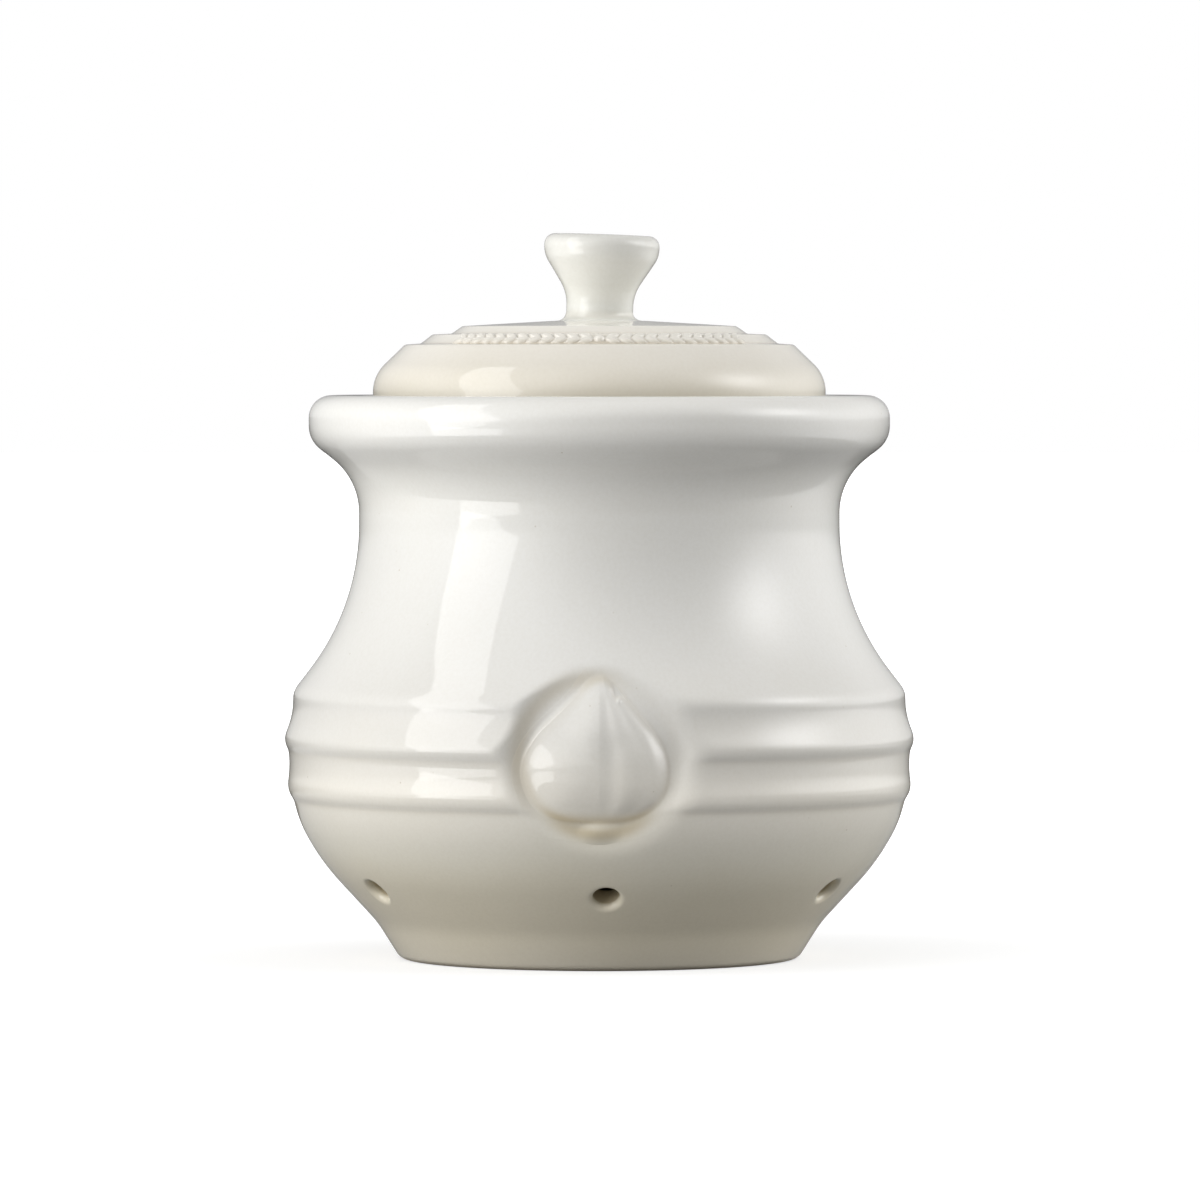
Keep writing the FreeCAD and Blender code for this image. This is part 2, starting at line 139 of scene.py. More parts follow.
# Lid, from the middle of its hollow round the collar and over the dome to the crown
LID_CORNERS = [
    (0.0, 126.66, 0.0),
    (32.0, 125.38, 6.0),
    (38.14, 115.36, 6.0),
    (38.14, COLLAR_FOOT, 1.8),
    (COLLAR, COLLAR_FOOT, 1.8),
    (COLLAR, SEAT, 0.8),
    (LID, SEAT, 0.8),
    (LID, 120.16, 7.95),
    (40.04, 126.53, 1.1),
    (*RISER[0], 0.9),
    (*RISER[1], 1.1),
    (30.46, 128.76, 0.9),
    (28.21, 130.32, 1.1),
    (9.4, 131.42, 12.0),
    (0.0, CROWN, 0.0),
]
# Knob, by height over the crown
KNOB_CORNERS = [
    (0.0, -0.6, 0.0),
    (8.75, -0.6, 0.0),
    (8.75, 0.0, 0.0),
    (6.89, 0.06, 1.85),
    (6.89, 5.6, 8.75),
    (11.88, 13.47, 5.75),
    (11.88, 17.62, 2.2),
    (8.4, 17.72, 3.0),
    (0.0, 17.45, 0.0),
]
KNOB_LEAN = math.radians(2.0)


def outline(corners, step):
    """Points along a run of (a, b, rounding) corners; step(a, b) is the spacing there."""
    p = np.array([c[:2] for c in corners], float)
    size = [c[2] for c in corners]
    n = len(p)
    run = np.diff(p, axis=0)
    length = np.hypot(run[:, 0], run[:, 1])
    way = run / length[:, None]
    back = np.zeros(n)
    turn = np.zeros(n)
    for i in range(1, n - 1):
        cross = way[i - 1][0] * way[i][1] - way[i - 1][1] * way[i][0]
        turn[i] = math.atan2(cross, float(way[i - 1] @ way[i]))
        back[i] = size[i] * abs(math.tan(turn[i] / 2))
    # Where two roundings need more than the line between them, both are made smaller
    share = np.ones(n)
    for i in range(n - 1):
        both = back[i] + back[i + 1]
        if both > length[i]:
            share[i] = min(share[i], length[i] / both)
            share[i + 1] = min(share[i + 1], length[i] / both)
    back = back * share
    out = [p[0]]

    def straight(a, b):
        d = math.hypot(*(b - a))
        if d > 1e-6:
            k = max(1, math.ceil(d / step(*((a + b) / 2))))
            for j in range(1, k + 1):
                out.append(a + (b - a) * j / k)

    here = p[0]
    for i in range(1, n - 1):
        start = p[i] - way[i - 1] * back[i]
        straight(here, start)
        if back[i] > 1e-6:
            radius = back[i] / abs(math.tan(turn[i] / 2))
            left = np.array([-way[i - 1][1], way[i - 1][0]]) * math.copysign(1, turn[i])
            centre = start + left * radius
            spoke = start - centre
            k = max(2, math.ceil(abs(turn[i]) / math.radians(7)))
            k = max(k, math.ceil(radius * abs(turn[i]) / step(*p[i])))
            for j in range(1, k + 1):
                a = turn[i] * j / k
                turned = (spoke[0] * math.cos(a) - spoke[1] * math.sin(a),
                          spoke[0] * math.sin(a) + spoke[1] * math.cos(a))
                out.append(centre + np.array(turned))
            here = out[-1]
        else:
            here = start
    straight(here, p[-1])
    return np.array(out)


def side_of(profile, low, high, beyond=0):
    """The points of an outline between two heights and beyond a radius, sorted by height."""
    side = profile[(profile[:, 0] > beyond) & (profile[:, 1] > low) & (profile[:, 1] < high)]
    return side[np.argsort(side[:, 1])]


def radius_at(side, z):
    return np.interp(z, side[:, 1], side[:, 0])


def smooth_min(a, b, k):
    h = np.clip(k - np.abs(a - b), 0, None) / k
    return np.minimum(a, b) - h * h * k / 4


def smooth_max(a, b, k):
    return -smooth_min(-a, -b, k)


def eased(x, low, high):
    t = np.clip((x - low) / (high - low), 0, 1)
    return t * t * (3 - 2 * t)


def bell(x, width):
    return np.exp(-(x / width) ** 2)


def wrapped(angle):
    """An angle in radians, brought to within half a turn of 0."""
    return (angle + math.pi) % (2 * math.pi) - math.pi


# ---------------------------------------------------------------- the dish and the bulb

# The dish's frame: its middle on the crest of the belly, the way out of it and the way up it
TILT = math.radians(5.0)
DISH_CENTRE = np.array([0, -64.93, 44.2])
DISH_OUT = np.array([0, -math.cos(TILT), math.sin(TILT)])
DISH_UP = np.array([0, math.sin(TILT), math.cos(TILT)])
# Depth of the floor, radii where it ends and where the wall reaches the belly, how far the wall
# rises past the belly, how far right its middle is, and the radius that pressing it in can reach
DISH_DEPTH = 2.0
DISH_FLOOR = 15.0
DISH_EDGE = 19.3
DISH_LIFT = 0.6
DISH_SHIFT = 0.25
DISH_REACH = 26


def to_dish(p):
    """Across, up and out coordinates in the dish's frame on the crest of the belly."""
    d = p - DISH_CENTRE
    return d[..., 0], d @ DISH_UP, d @ DISH_OUT


def from_dish(x, v, n):
    return (DISH_CENTRE + np.stack([x, np.zeros_like(x), np.zeros_like(x)], -1)
            + v[..., None] * DISH_UP + n[..., None] * DISH_OUT)


def banded(profile):
    """The jar's outside with its three thrown bands in their full shape."""
    height, lean = np.array(BAND_LEAN).T
    fine = 0.1
    z = np.arange(height[0], height[-1] - fine / 2, -fine)
    turn = np.tan(np.radians(np.interp(-z, -height, lean)))
    turn = np.convolve(np.pad(turn, 3, "edge"), np.ones(7) / 7, "valid")
    top, bottom = radius_at(side_of(profile, 20, 70, BELLY_FROM), [z[0], z[-1]])
    r = top + np.concatenate([[0], np.cumsum((turn[1:] + turn[:-1]) / 2 * fine)])
    # The leans alone may miss the outline's own radius at the foot of the bands
    r += (bottom - r[-1]) * np.linspace(0, 1, len(r))
    made = profile.copy()
    here = (made[:, 0] > BELLY_FROM) & (made[:, 1] < z[0]) & (made[:, 1] > z[-1])
    made[here, 0] = np.interp(-made[here, 1], -z, r)
    return made


def outside_step(r, z):
    return 0.28 if 30 < z < 58 and r > BELLY_FROM else 0.8


jar_outer = banded(outline(JAR_OUTSIDE, outside_step))
jar_inner = outline(JAR_INSIDE, lambda r, z: 1.1)
# The parts of the outside and of the inside where the radius follows from the height
belly = side_of(jar_outer, 2.7, 90)
inner_side = side_of(jar_inner, FLOOR + 3, 90)
# The belly without its bands, which the dish's floor runs along
plain_belly = outline([
    (*SLOPE_FOOT, 0.0),
    (*SLOPE_TOP, 46.4),
    (63.46, 32.62, 24.0),
    (63.38, 54.8, 24.0),
    (NECK, 73.05, 49.3),
    (NECK, 90.0, 0.0),
], lambda r, z: 1.0)


def on_turned(start, way, side):
    """How far along way from each start the turned surface is met, by Newton's method."""
    def miss_at(t):
        p = start + t[..., None] * way
        return np.hypot(p[..., 0], p[..., 1]) - radius_at(side, p[..., 2])

    nudge, least_slope = 0.01, 0.05
    t = np.zeros(start.shape[:-1])
    for _ in range(12):
        miss = miss_at(t)
        slope = (miss_at(t + nudge) - miss) / nudge
        t = t - miss / np.where(np.abs(slope) < least_slope, least_slope, slope)
    return t


def floor_level(x, v):
    """Height of the dish's floor in its frame: the plain belly, moved in by the dish's depth."""
    return on_turned(from_dish(x, v, np.zeros_like(x)), DISH_OUT, plain_belly) - DISH_DEPTH


def dish_level(x, v):
    """Height of the dish's floor and of the wall that slopes up from it."""
    share = (np.hypot(x - DISH_SHIFT, v) - DISH_FLOOR) / (DISH_EDGE - DISH_FLOOR)
    return floor_level(x, v) + (DISH_DEPTH + DISH_LIFT) * smooth_max(share, 0 * share, 0.6)


def rim_softness(x, v):
    """Rounding of the dish's edge, crisper on the upper left than on the lower right."""
    return 1.2 + 0.4 * (x - v) / np.maximum(np.hypot(x, v), 1)


def dish_pool_and_shade(x, v):
    """Glaze pooling along the dish's wall, with painted shade: most at the upper left, where the
    wall faces away from the lamp, and at the bottom.
    """
    rho = np.maximum(np.hypot(x, v), 1)
    upper_left = 0.27 * eased((0.6 * v - 0.8 * x) / rho, 0.0, 1)
    bottom = 0.4 * eased(-v / rho, 0.6, 1)
    return (upper_left * bell(rho - 16.6, 1.9) + bottom * bell(rho - 15.0, 1.6)
            + 0.05 * bell(rho - 15.4, 1.8))


def press_dish(points):
    """The outside of the jar with the dish pressed into it."""
    x, v, n = to_dish(points)
    near = (np.hypot(x, v) < DISH_REACH) & (points[..., 1] < 0)
    x, v, n = x[near], v[near], n[near]
    pressed = points.copy()
    pressed[near] = from_dish(x, v, smooth_min(n, dish_level(x, v), rim_softness(x, v)))
    return pressed


# The bulb from root to tip: place upwards, edges left and right, relief over the dish's floor
BULB = np.array([
    (-12.4, 0.0, 0.0, 2.95),
    (-12.0, -7.0, 5.2, 2.95),
    (-10.9, -11.0, 9.0, 2.95),
    (-8.8, -13.5, 12.0, 2.95),
    (-5.8, -15.0, 13.6, 2.95),
    (-2.4, -15.5, 13.8, 2.9),
    (1.0, -14.6, 13.1, 2.85),
    (5.0, -12.0, 11.0, 2.6),
    (8.6, -8.3, 8.1, 2.25),
    (12.6, -4.3, 4.9, 1.9),
    (15.8, -2.2, 2.4, 1.75),
    (18.4, 0.0, 0.5, 1.7),
])
BULB_MIDDLE = np.array([0.0, -1.5])
# How sharply the bulb's sides turn down, to the left, the right, upwards and downwards
BULB_TURN = (2.2, 4.0, 4.0, 2.0)
# Grooves between the cloves and the swelling of the cloves: place across, width, height
CLOVES = [
    (-0.54, 0.1, -0.13),
    (-0.33, 0.13, 0.09),
    (0.17, 0.15, -0.36),
    (0.4, 0.12, 0.08),
    (0.66, 0.1, -0.16),
    (0.83, 0.08, 0.08),
]


def spline(points, count):
    """Closed Catmull-Rom curve through points, evenly spaced."""
    p = np.asarray(points, float)
    n = len(p)
    out = []
    for i in range(n):
        a, b, c, d = p[i - 1], p[i], p[(i + 1) % n], p[(i + 2) % n]
        for t in np.linspace(0, 1, 40, endpoint=False):
            out.append(0.5 * (2 * b + (c - a) * t + (2 * a - 5 * b + 4 * c - d) * t * t
                              + (3 * b - a - 3 * c + d) * t ** 3))
    out = np.array(out)
    closed = np.vstack([out, out[:1]])
    way = np.concatenate([[0], np.cumsum(np.hypot(*np.diff(closed, axis=0).T))])
    at = np.linspace(0, way[-1], count, endpoint=False)
    return np.stack([np.interp(at, way, closed[:, 0]), np.interp(at, way, closed[:, 1])], -1)


def bulb_outline(count):
    right = BULB[:, [2, 0]]
    left = BULB[-2:0:-1, [1, 0]]
    return spline(np.vstack([right, left]), count)


def bulb_height(x, v, t):
    """Relief of the bulb, t of the way from its middle to its edge: a swelling with shallow
    grooves between its cloves."""
    left, right, crest = (np.interp(v, BULB[:, 0], BULB[:, i]) for i in (1, 2, 3))
    across = np.where(x < 0, -x / np.minimum(left, -0.4), x / np.maximum(right, 0.4))
    across = np.clip(across, 0, 1) * np.sign(x)
    away = np.stack([x - BULB_MIDDLE[0], v - BULB_MIDDLE[1]])
    away = away / np.maximum(np.hypot(*away), 0.01)
    left_turn, right_turn, up_turn, down_turn = BULB_TURN
    power = (left_turn * np.clip(-away[0], 0, 1) ** 2 + right_turn * np.clip(away[0], 0, 1) ** 2
             + up_turn * np.clip(away[1], 0, 1) ** 4 + down_turn * np.clip(-away[1], 0, 1) ** 2)
    swell = 1 - np.clip(t, 0, 1) ** np.maximum(power, 1.5)
    strength = eased(v, -13, -8) * (1 - 0.7 * eased(v, 6, 16))
    ribs = np.zeros_like(x)
    for place, width, height in CLOVES:
        bend = place * (1 - 0.1 * eased(v, 0, 14))
        ribs += height * bell(across - bend, width)
    return crest * swell + ribs * strength * np.sqrt(swell)


def fold_height(x, v):
    """The dry skin folded over beside the tip: a pit, and the curl of skin below it."""
    def spot(x0, v0, wide, tall):
        return np.exp(-(((x - x0) / wide) ** 2 + ((v - v0) / tall) ** 2))

    return -2.0 * spot(3.7, 13.6, 1.0, 1.6) + 0.8 * spot(3.9, 11.9, 0.6, 0.8)


def root_height(x, v):
    """The root plate under the bulb."""
    middle, half_width, half_height, relief = -14.6, 3.3, 1.9, 0.8
    q = (x / half_width) ** 2 + ((v - middle) / half_height) ** 2
    return np.where(q < 4, relief - relief * q, -4.0)


# ---------------------------------------------------------------- meshes


def column_angles(spacing):
    """Angles round the axis in radians, closer together where spacing(degrees) is small."""
    fine = np.linspace(-270, 90, 7201)
    density = 1 / np.array([spacing(a) for a in fine])
    total = np.concatenate([[0], np.cumsum((density[1:] + density[:-1]) / 2 * np.diff(fine))])
    count = int(round(total[-1]))
    return np.radians(np.interp(np.arange(count) * total[-1] / count, total, fine))


def away_from(angle, place):
    """Degrees between an angle and a place, the shorter way round."""
    return abs((angle - place + 180) % 360 - 180)


def off_centre(angle):
    """Degrees between an angle and the front or the back, whichever is nearer."""
    return np.minimum(away_from(angle, -90), away_from(angle, 90))


def turned_grid(profile, angles):
    r, z = profile[:, 0], profile[:, 1]
    return np.stack([
        r[:, None] * np.cos(angles)[None, :],
        r[:, None] * np.sin(angles)[None, :],
        np.repeat(z[:, None], len(angles), 1),
    ], -1)


def new_piece(name, points, faces, pool_and_shade, node, body, slot, material):
    """Mesh object from points in millimetres, with smooth faces and values for the glaze's pooling
    and painted shade.
    """
    mesh = bpy.data.meshes.new(name)
    mesh.from_pydata((np.asarray(points) * MM).tolist(), [], faces)
    work = bmesh.new()
    work.from_mesh(mesh)
    bmesh.ops.recalc_face_normals(work, faces=work.faces)
    work.to_mesh(mesh)
    work.free()
    mesh.polygons.foreach_set("use_smooth", [True] * len(mesh.polygons))
    layer = mesh.attributes.new("pool_and_shade", "FLOAT", "POINT")
    layer.data.foreach_set("value", np.asarray(pool_and_shade, np.float32))
    mesh.materials.append(material)
    piece = bpy.data.objects.new(name, mesh)
    bpy.context.scene.collection.objects.link(piece)
    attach(piece, body)
    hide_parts(node)
    return piece


def grid_faces(rows, columns, skip=()):
    """Quads of a grid that closes round its columns, but for the (row, column) cells in skip."""
    faces = []
    for s in range(rows - 1):
        for c in range(columns):
            if (s, c) not in skip:
                here, above = s * columns, (s + 1) * columns
                d = (c + 1) % columns
                faces.append((here + c, here + d, above + d, above + c))
    return faces


def end_fans(rows, columns, end):
    """Triangles from a grid's first row to point end, and from its last row to the point after."""
    faces = []
    last = (rows - 1) * columns
    for c in range(columns):
        d = (c + 1) % columns
        faces.append((c, d, end))
        faces.append((last + c, last + d, end + 1))
    return faces


def closed_grid(points, pool_and_shade, ends):
    """Points, faces and pooling-and-shade values of a grid that is closed onto a point at either
    end.
    """
    rows, columns = points.shape[:2]
    faces = grid_faces(rows, columns) + end_fans(rows, columns, rows * columns)
    return np.vstack([points.reshape(-1, 3), *ends]), faces, np.append(pool_and_shade, [0, 0])


def blurred(values, places, reach):
    """Values along a line, averaged over a bell of the given reach."""
    weight = bell(places[:, None] - places[None, :], reach) * np.gradient(places)[None, :]
    return (weight @ values) / weight.sum(1)


def hollowness(profile, reach):
    """How hollow a turned outline is at each point, in millimetres: above 0 in creases."""
    way = np.concatenate([[0], np.cumsum(np.hypot(*np.diff(profile, axis=0).T))])
    way = way + np.arange(len(way)) * 1e-6
    soft = np.stack([blurred(profile[:, i], way, reach) for i in (0, 1)], -1)
    tangent = np.gradient(profile, way, axis=0)
    outward = np.stack([tangent[:, 1], -tangent[:, 0]], -1)
    outward /= np.maximum(np.hypot(*outward.T), 1e-9)[:, None]
    return ((soft - profile) * outward).sum(1)


# Vents, bored square to the sloping lower belly: how far up it, radius of the bore, rounding of
# its outer and inner edges
VENT_UP = 10.6
VENT_BORE = 2.65
VENT_LIP = 1.15
VENT_INNER_LIP = 0.7
VENT_SLOPE = math.atan2(SLOPE_TOP[1] - SLOPE_FOOT[1], SLOPE_TOP[0] - SLOPE_FOOT[0])
VENT_R = SLOPE_FOOT[0] + VENT_UP * math.cos(VENT_SLOPE)
VENT_Z = SLOPE_FOOT[1] + VENT_UP * math.sin(VENT_SLOPE)
VENTS = [-90 + 1.5 + 60 * i for i in range(6)]
# The square cut out of the grid for a vent: half its width in millimetres, half its height in rows
VENT_CUT = 6.2
VENT_CUT_ROWS = 7
# Glaze pooling and painted shade round a vent: on the belly, on the outer edge, in the bore, on the
# inner edge, inside. The bore's high value is painted shade inside the hole.
VENT_POOLING_AND_SHADE = (0.02, -0.05, 0.7, 0.1, 0.0)


def cut_square(profile, rows_here, goal, left, right, step):
    """A square cut out of the grid where it comes nearest to goal: its cells, and the grid points
    round it, as (row, column). Where step is -1 they run the other way round."""
    miss = np.hypot(profile[:, 0] - np.hypot(goal[0], goal[1]), profile[:, 1] - goal[2])
    middle = int(np.argmin(np.where(rows_here, miss, 1e9)))
    low, high = middle - step * VENT_CUT_ROWS, middle + step * VENT_CUT_ROWS
    loop = [(low, c) for c in range(left, right)]
    loop += [(s, right) for s in range(low, high, step)]
    loop += [(high, c) for c in range(right, left, -1)]
    loop += [(s, left) for s in range(high, low, -step)]
    cells = [(s, c) for s in range(min(low, high), max(low, high)) for c in range(left, right)]
    return cells, loop


def bored_vent(vent, profile, angles, first_inner, grid_points):
    """One vent: the grid cells that it takes out, the numbers of the grid points round it on the
    outside and on the inside, and the rings between them, as (points, pool value)."""
    columns = len(angles)
    a = math.radians(vent)
    outward = np.array([math.cos(a), math.sin(a), 0.0])
    upward = np.array([0.0, 0.0, 1.0])
    side = np.array([-math.sin(a), math.cos(a), 0.0])
    up = outward * math.cos(VENT_SLOPE) + upward * math.sin(VENT_SLOPE)
    axis = outward * math.sin(VENT_SLOPE) - upward * math.cos(VENT_SLOPE)
    centre = outward * VENT_R + upward * VENT_Z

    column = int(np.argmin(np.abs(wrapped(angles - a))))
    pace = (angles[(column + 1) % columns] - angles[column - 1]) % (2 * math.pi) / 2
    wide = max(4, round(VENT_CUT / (pace * VENT_R)))
    outside = np.arange(len(profile)) < first_inner
    cells, loops = [], []
    for rows_here, goal, step in ((outside, centre, 1), (~outside, centre - axis * WALL, -1)):
        cut, loop = cut_square(profile, rows_here, goal, column - wide, column + wide, step)
        cells += [(s, c % columns) for s, c in cut]
        loops.append([s * columns + c % columns for s, c in loop])
    count = len(loops[0])

    def rounded(loop, share, radius):
        """A ring between a square of grid points and a circle, across and up from the centre."""
        d = grid_points[loop] - centre
        i, j = d @ side, d @ up
        turn = np.arctan2(j, i)
        even = np.linspace(0, 2 * math.pi, count, endpoint=False) + turn[0]
        turn = even + wrapped(turn - even) * (1 - share)
        return ((1 - share) * i + share * radius * np.cos(turn),
                (1 - share) * j + share * radius * np.sin(turn))

    def at_level(i, j, level):
        return centre + i[:, None] * side + j[:, None] * up + level[:, None] * axis

    def level_of(surface, i, j, inset=0.0):
        """How far out along the bore a turned surface is, looked for from inset further in."""
        return on_turned(at_level(i, j, np.full(count, -inset)), axis, surface) - inset

    on_belly, on_lip, in_bore, on_inner_lip, on_inside = VENT_POOLING_AND_SHADE
    mouth = VENT_BORE + VENT_LIP
    rings = []
    for share in np.linspace(0.2, 1, 5):
        i, j = rounded(loops[0], share, mouth)
        rings.append((at_level(i, j, level_of(belly, i, j)), on_belly))
    i, j = rounded(loops[0], 1, 1.0)
    level = level_of(belly, i * mouth, j * mouth)
    for lean in np.linspace(12, 90, 7):
        radius = VENT_BORE + VENT_LIP * (1 - math.sin(math.radians(lean)))
        drop = VENT_LIP * (1 - math.cos(math.radians(lean)))
        rings.append((at_level(i * radius, j * radius, level - drop), on_lip))
    top = level - VENT_LIP
    beside = 3.3
    foot = level_of(inner_side, i * beside, j * beside, WALL) + VENT_INNER_LIP
    for share in np.linspace(0.2, 1, 5):
        level = top + (foot - top) * share
        rings.append((at_level(i * VENT_BORE, j * VENT_BORE, level), in_bore))
    for lean in (30, 60, 90):
        radius = VENT_BORE + VENT_INNER_LIP * (1 - math.cos(math.radians(lean)))
        drop = VENT_INNER_LIP * math.sin(math.radians(lean))
        rings.append((at_level(i * radius, j * radius, foot - drop), on_inner_lip))
    for share in (0.75, 0.5, 0.25):
        i, j = rounded(loops[1], share, VENT_BORE + VENT_INNER_LIP)
        rings.append((at_level(i, j, level_of(inner_side, i, j, WALL)), on_inside))
    return cells, loops, rings


def make_jar(material):
    def spacing(angle):
        front = 0.36 + 1.7 * eased(away_from(angle, -90), 21, 34)
        vent = min(0.75 + 1.3 * eased(away_from(angle, a), 7, 14) for a in VENTS)
        return float(min(front, vent, 2.0))

    angles = column_angles(spacing)
    columns = len(angles)
    # Underside and outside meet on the inner wall of the foot ring
    join = (FOOT_INNER, 0.8, 0.0)
    under = outline([(0.0, RECESS, 0.0), (FOOT_INNER, RECESS, 1.2), join],
                    lambda r, z: 2.5 if r < 30 else 0.8)
    outer = banded(outline([join] + JAR_OUTSIDE + [(MOUTH, SEAT, 0.0)], outside_step))
    profile = np.vstack([under[1:], outer[1:], jar_inner[1:-1]])
    rows = len(profile)
    first_inner = len(under) - 1 + len(outer) - 1
    points = turned_grid(profile, angles)
    pressed = (np.arange(rows) < first_inner) & (profile[:, 1] > 12) & (profile[:, 0] > 48)
    points[pressed] = press_dish(points[pressed])

    # Glaze pooling in the creases of the outline, which also paints their shade, and in the dish
    # the painted shade along its wall
    pool_and_shade = np.repeat(hollowness(profile, 1.5)[:, None], columns, 1)
    x, v, _ = to_dish(points)
    rho = np.hypot(x, v)
    in_dish = (rho < 24) & (points[..., 1] < 0) & pressed[:, None]
    pool_and_shade = np.where(in_dish, pool_and_shade * eased(rho, 18.5, 20.5) + dish_pool_and_shade(x, v), pool_and_shade)

    points = points.reshape(-1, 3)
    added, added_pool_and_shade, faces, skip = [], [], [], set()
    at = rows * columns
    for vent in VENTS:
        cells, loops, rings = bored_vent(vent, profile, angles, first_inner, points)
        skip.update(cells)
        count = len(loops[0])
        ids = [loops[0]]
        for ring, value in rings:
            ids.append(list(range(at, at + count)))
            added.append(ring)
            added_pool_and_shade.append(np.full(count, value))
            at += count
        ids.append(loops[1])
        for one, two in zip(ids, ids[1:]):
            for k in range(count):
                m = (k + 1) % count
                faces.append((one[k], one[m], two[m], two[k]))

    faces = grid_faces(rows, columns, skip) + faces + end_fans(rows, columns, at)
    points = np.vstack([points] + added + [(0.0, 0.0, RECESS), (0.0, 0.0, FLOOR)])
    pool_and_shade = np.concatenate([pool_and_shade.reshape(-1)] + added_pool_and_shade + [np.zeros(2)])
    # The grid points inside the cuts are left out
    used = np.zeros(len(points), bool)
    for face in faces:
        used[list(face)] = True
    number = np.cumsum(used) - 1
    faces = [tuple(int(number[i]) for i in face) for face in faces]
    return new_piece("jar_body", points[used], faces, pool_and_shade[used],
                     "jar", "jar", "jar_glaze", material)


# The bulb's mesh: columns round it, rings over it, and the skirt of rings that lies on the dish,
# floats just over the jar's own surface and sinks into it with its last rings
BULB_COLUMNS = 320
BULB_RINGS = 70
SKIRT_RINGS = 26
SKIRT_WIDTH = 2.4
SKIRT_FLOAT = 0.02
SKIRT_END = [0.01, -0.01, -0.04, -0.12, -0.6]


def make_sprig(material):
    edge = bulb_outline(BULB_COLUMNS)
    tangent = np.roll(edge, -1, 0) - np.roll(edge, 1, 0)
    tangent /= np.hypot(*tangent.T)[:, None]
    outward = np.stack([tangent[:, 1], -tangent[:, 0]], -1)
    layers, heights = [], []
    for t in np.sin(np.linspace(0.02, math.pi / 2, BULB_RINGS)):
        p = BULB_MIDDLE + t * (edge - BULB_MIDDLE)
        layers.append(p)
        heights.append(bulb_height(p[:, 0], p[:, 1], np.full(BULB_COLUMNS, t)))
    # The skirt is wider at the bottom, where it takes in the root plate
    reach = 1 + 1.1 * eased(-edge[:, 1], 7, 11)
    for d in np.linspace(0.1, SKIRT_WIDTH, SKIRT_RINGS):
        layers.append(edge + outward * (d * reach)[:, None])
        heights.append(-d * reach)
    p, h = np.array(layers), np.array(heights)
    x, v = p[..., 0], p[..., 1]
    h = h + fold_height(x, v) * (h > 0)
    floor = floor_level(x, v)
    dish = dish_level(x, v)
    unpressed = on_turned(from_dish(x, v, dish), DISH_OUT, belly) + dish
    base = smooth_min(unpressed, dish, rim_softness(x, v))
    foot_softness = 1.5 - 0.9 * eased(x, -8, 12) + 0.7 * (1 - eased(v, -14, -9))
    n = smooth_max(floor + h, base, foot_softness)
    n = smooth_max(n, root_height(x, v) + base, 1.0)
    over = np.full(len(layers), SKIRT_FLOAT)
    over[-len(SKIRT_END):] = SKIRT_END
    points = from_dish(x, v, n + over[:, None])
    # Glaze pooling and painted shade where the bulb meets the dish, more towards the bottom, and
    # beyond its edge the dish's painted shade
    lift = floor + h - base
    pool_and_shade = 0.45 * bell(lift, 0.7) * (0.2 + 0.8 * (1 - eased(v, -14, -8)))
    pool_and_shade = pool_and_shade + dish_pool_and_shade(x, v) * eased(-lift, -1.2, 0.3)
    x, v = BULB_MIDDLE[:1], BULB_MIDDLE[1:]
    ends = [from_dish(x, v, floor_level(x, v) + height)
            for height in (bulb_height(x, v, np.zeros(1)), -1.5)]
    return new_piece("garlic_relief", *closed_grid(points, pool_and_shade, ends),
                     "garlic_sprig", "jar", "sprig_glaze", material)


# Garlands, front and back: how far either arm reaches, in degrees, and its pairs of leaves
GARLAND_SPAN = 52.0
GARLAND_LEAVES = 12
BERRY_RADIUS = 1.05
BERRY_HEIGHT = 0.75
STEM_WIDTH = 0.22
STEM_HEIGHT = 0.26
# Leaves: half length, half width, relief, distance from the stem, turn away from it, and the
# width and depth of the groove along the middle
LEAF_LENGTH = 1.85
LEAF_WIDTH = 0.8
LEAF_HEIGHT = 0.55
LEAF_APART = 0.72
LEAF_TURN = math.radians(24.0)
LEAF_GROOVE = 0.12


def leaf_height(along, across, turn):
    u = along * math.cos(turn) + across * math.sin(turn)
    w = -along * math.sin(turn) + across * math.cos(turn)
    half = LEAF_WIDTH * np.clip(1 - (u / LEAF_LENGTH) ** 2, 0.0, 1)
    q = (u / LEAF_LENGTH) ** 2 + (w / np.maximum(half, 0.05)) ** 2 * 0.9
    groove = LEAF_GROOVE * bell(w, LEAF_GROOVE) * (q < 0.8)
    return LEAF_HEIGHT * np.sqrt(np.clip(1 - q, 0, 1)) - groove


def garland_height(angles, across, radius):
    """Relief of both garlands over the riser: a berry, and pairs of leaves along a stem."""
    across = across[:, None]
    height = np.zeros((len(across), len(angles)))
    for middle in (-90.0, 90.0):
        arc = (np.degrees(angles) - middle + 180) % 360 - 180
        along = (np.radians(arc) * radius)[None, :]
        local = np.abs(arc) < GARLAND_SPAN + 5
        q = (along ** 2 + across ** 2) / BERRY_RADIUS ** 2
        parts = [BERRY_HEIGHT * np.sqrt(np.clip(1 - q, 0, 1)) * local,
                 STEM_HEIGHT * bell(across, STEM_WIDTH) * (np.abs(arc) < GARLAND_SPAN + 1.5)]
        for k in range(1, GARLAND_LEAVES + 1):
            for hand in (-1, 1):
                place = math.radians(GARLAND_SPAN * k / GARLAND_LEAVES) * radius * hand
                for row in (-1, 1):
                    parts.append(leaf_height(along - place, across - row * LEAF_APART,
                                             LEAF_TURN * row * hand) * local)
        for part in parts:
            height = np.maximum(height, part)
    return height


def lid_step(r, z):
    """Spacing along the lid's outline, finest under the garlands."""
    if z > 126 and 33.4 < r < 37.6:
        return 0.2
    return 0.5 if z > 119 else 1.6


